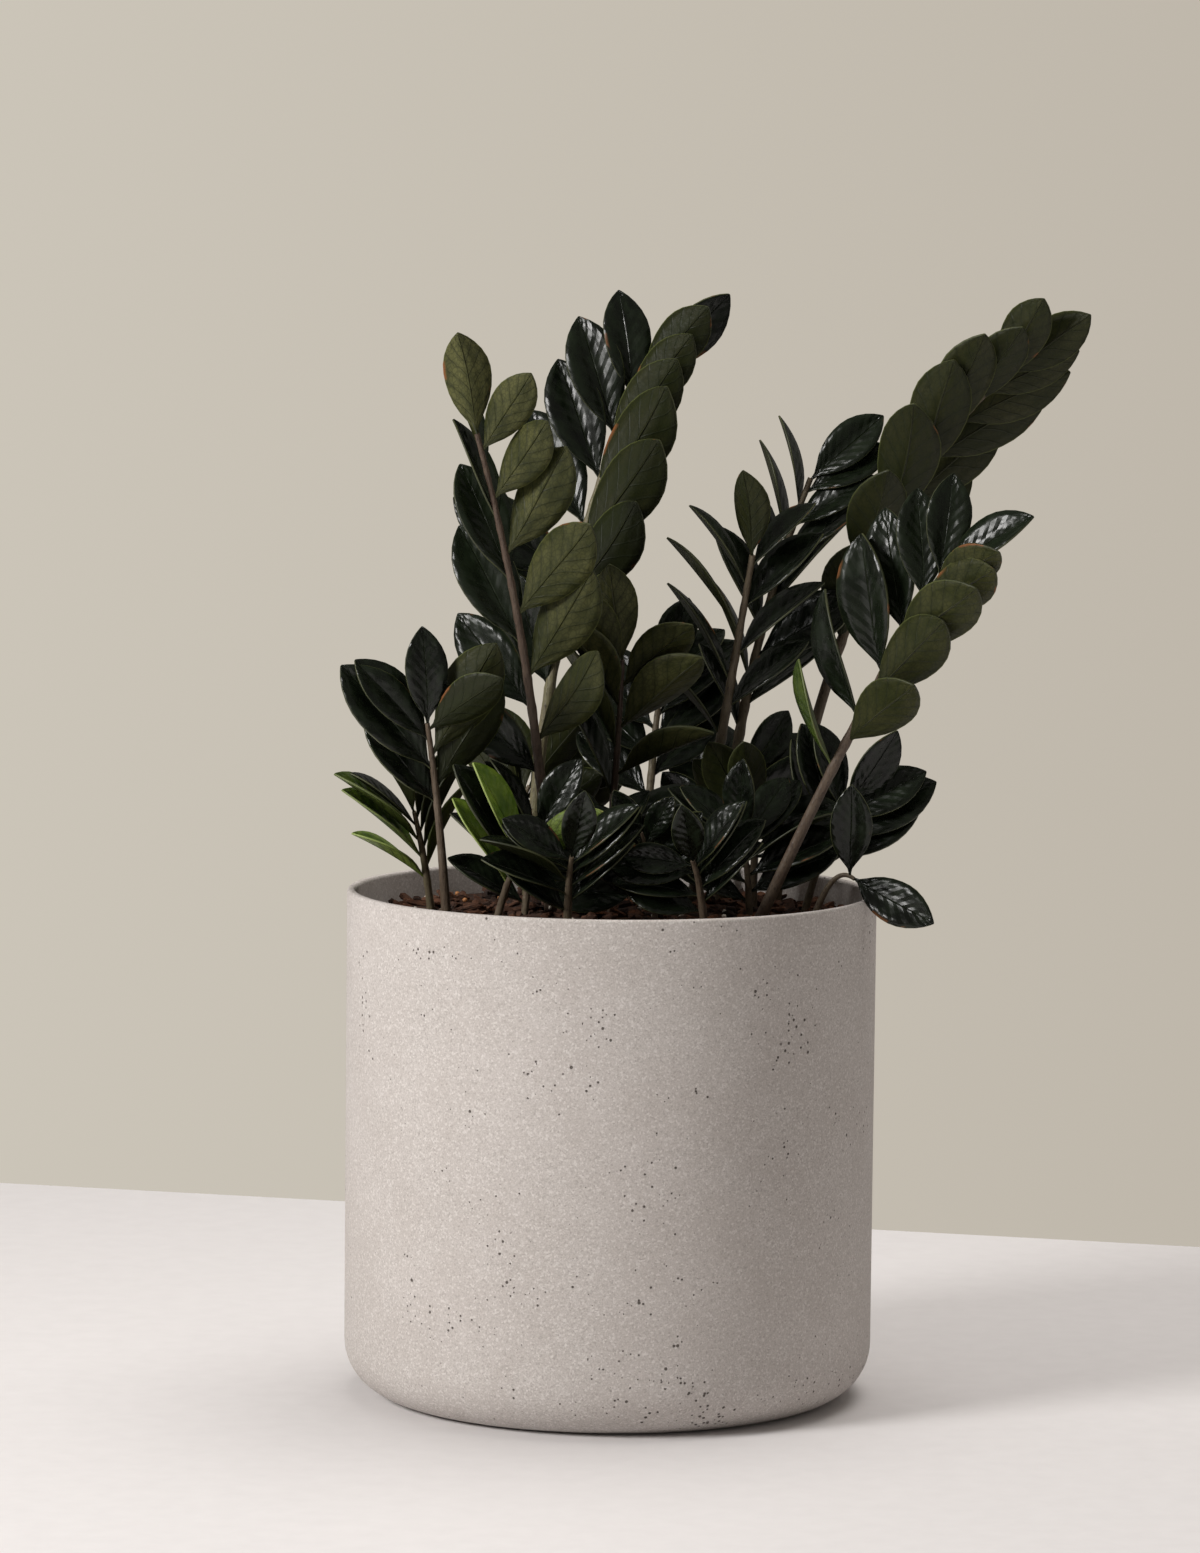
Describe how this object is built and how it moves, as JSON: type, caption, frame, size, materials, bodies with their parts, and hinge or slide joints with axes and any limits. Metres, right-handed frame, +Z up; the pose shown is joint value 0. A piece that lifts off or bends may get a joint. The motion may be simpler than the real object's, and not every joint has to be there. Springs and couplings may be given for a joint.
{
  "type": "potted zz plant",
  "caption": "Clump of glossy dark compound leaves, tall and short, rooted in dark bark mix in a straight round stone-like planter with a rounded bottom edge.",
  "frame": {"origin": "centre of the planter's flat underside", "axes": "+Z up, +X to the plant's right and +Y to its back as the camera sees it"},
  "size_m": [0.4549, 0.3482, 0.6674],
  "materials": {
    "planter_stone": "matte, sandy, with small pits",
    "potting_mix": "loose damp bark and compost",
    "leaf": "glossy above, satin below"
  },
  "bodies": {
    "root": {"planter": "planter_stone", "potting_mix": "potting_mix", "compound_leaf_01": "leaf", "compound_leaf_02": "leaf", "compound_leaf_03": "leaf", "compound_leaf_04": "leaf", "compound_leaf_05": "leaf", "compound_leaf_06": "leaf", "compound_leaf_07": "leaf", "compound_leaf_08": "leaf", "compound_leaf_09": "leaf", "compound_leaf_10": "leaf", "compound_leaf_11": "leaf", "compound_leaf_12": "leaf", "compound_leaf_13": "leaf", "compound_leaf_14": "leaf", "compound_leaf_15": "leaf", "compound_leaf_16": "leaf", "compound_leaf_17": "leaf", "compound_leaf_18": "leaf", "compound_leaf_19": "leaf", "compound_leaf_20": "leaf", "compound_leaf_21": "leaf", "compound_leaf_22": "leaf"}
  },
  "joints": []
}
